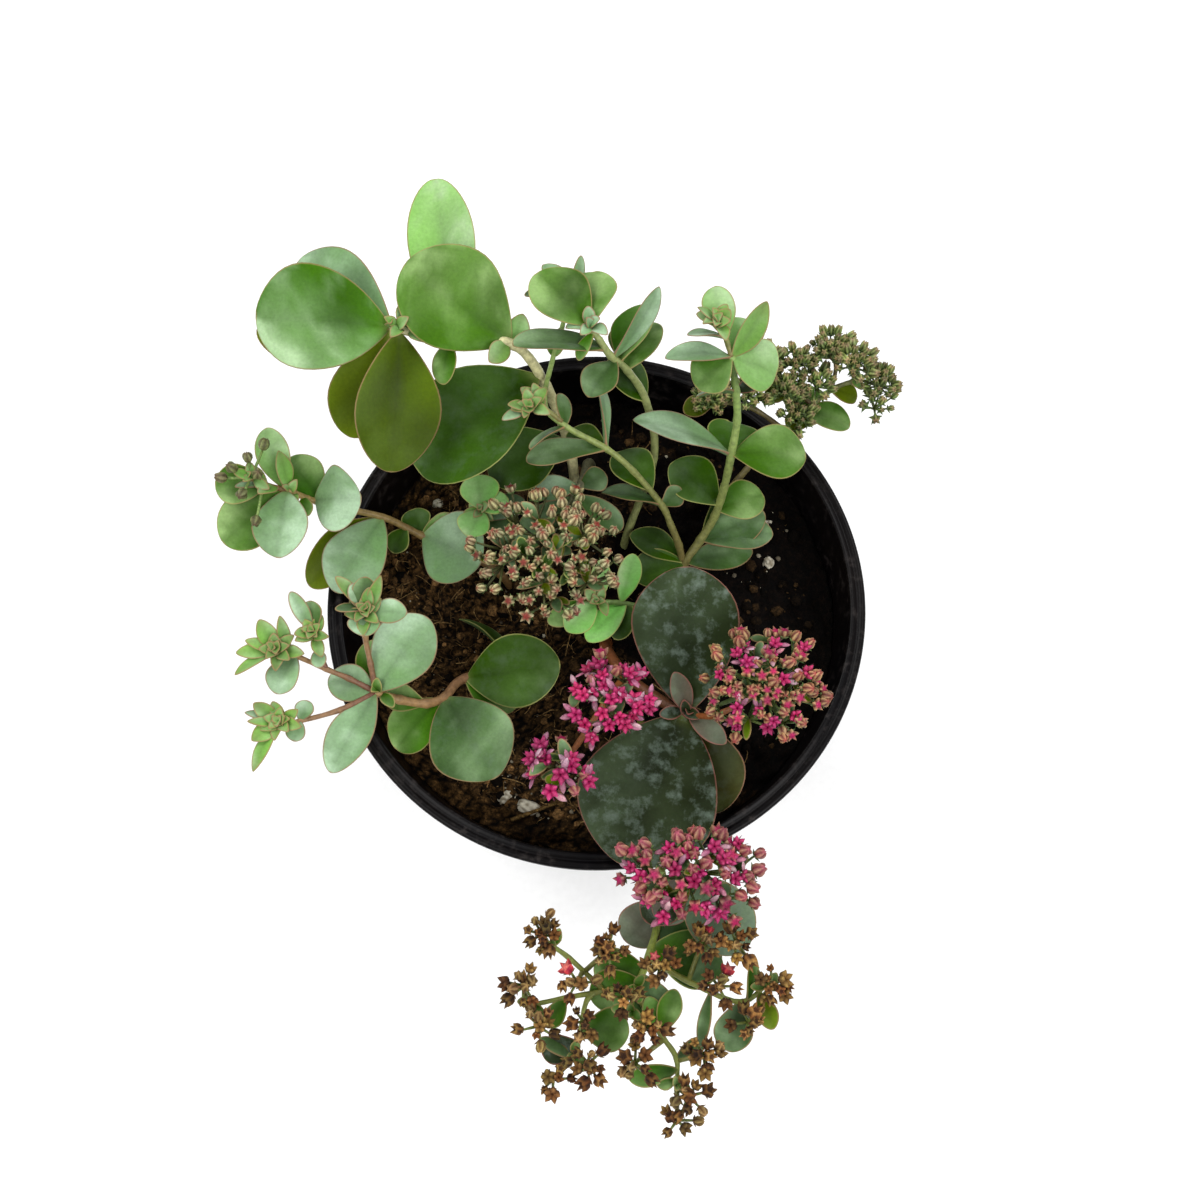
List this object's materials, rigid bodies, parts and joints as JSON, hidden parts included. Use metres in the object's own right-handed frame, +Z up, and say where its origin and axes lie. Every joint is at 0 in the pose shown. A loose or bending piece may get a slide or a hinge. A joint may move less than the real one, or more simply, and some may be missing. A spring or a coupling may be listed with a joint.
{
  "type": "potted trailing stonecrop",
  "caption": "Low trailing succulent with round fleshy leaves, pink flower heads and a dried brown spray, in a round black nursery pot filled with soil.",
  "frame": {"origin": "centre of the pot's flat underside", "axes": "+Z up along the pot's axis, -Y towards the front, where the dried spray hangs over the rim, +X to the right seen from the front"},
  "size_m": [0.2017, 0.2616, 0.2322],
  "materials": {
    "pot_plastic": "blow-moulded black polyethylene, satin, with grey scuffs on the lip",
    "potting_soil": "dark brown peat with tan bark fibres, matt",
    "perlite_grain": "off-white expanded grain, chalky",
    "leaf_bright": "yellow-green fleshy leaf with a thin waxy bloom and a pink rim",
    "leaf_pale": "blue-green fleshy leaf with a chalky bloom and a purple-pink rim",
    "leaf_dark": "dark grey-green leaf, mottled with pale bloom, purple-brown rim",
    "bud_green": "green and brown closed buds, satin",
    "floret_pink": "magenta-pink petals with pale tips and tan buds",
    "dry_spray": "dry brown seed heads on green-brown twigs, matt"
  },
  "bodies": {
    "root": {"pot": "pot_plastic", "soil": "potting_soil", "perlite_front": "perlite_grain", "perlite_left": "perlite_grain", "perlite_back": "perlite_grain", "perlite_right": "perlite_grain", "perlite_side": "perlite_grain", "stem_back_left": "leaf_bright", "stem_back_middle": "leaf_pale", "stem_forked": "leaf_pale", "spray_back_right": "bud_green", "stem_left": "leaf_pale", "stem_front_left": "leaf_pale", "shoot_rosette": "leaf_pale", "shoot_middle": "leaf_pale", "stem_middle": "leaf_pale", "stem_front": "leaf_dark", "spray_trailing": "dry_spray", "head_middle": "bud_green", "head_right": "floret_pink", "head_front": "floret_pink", "head_left": "floret_pink", "head_left_small": "floret_pink"}
  },
  "joints": []
}
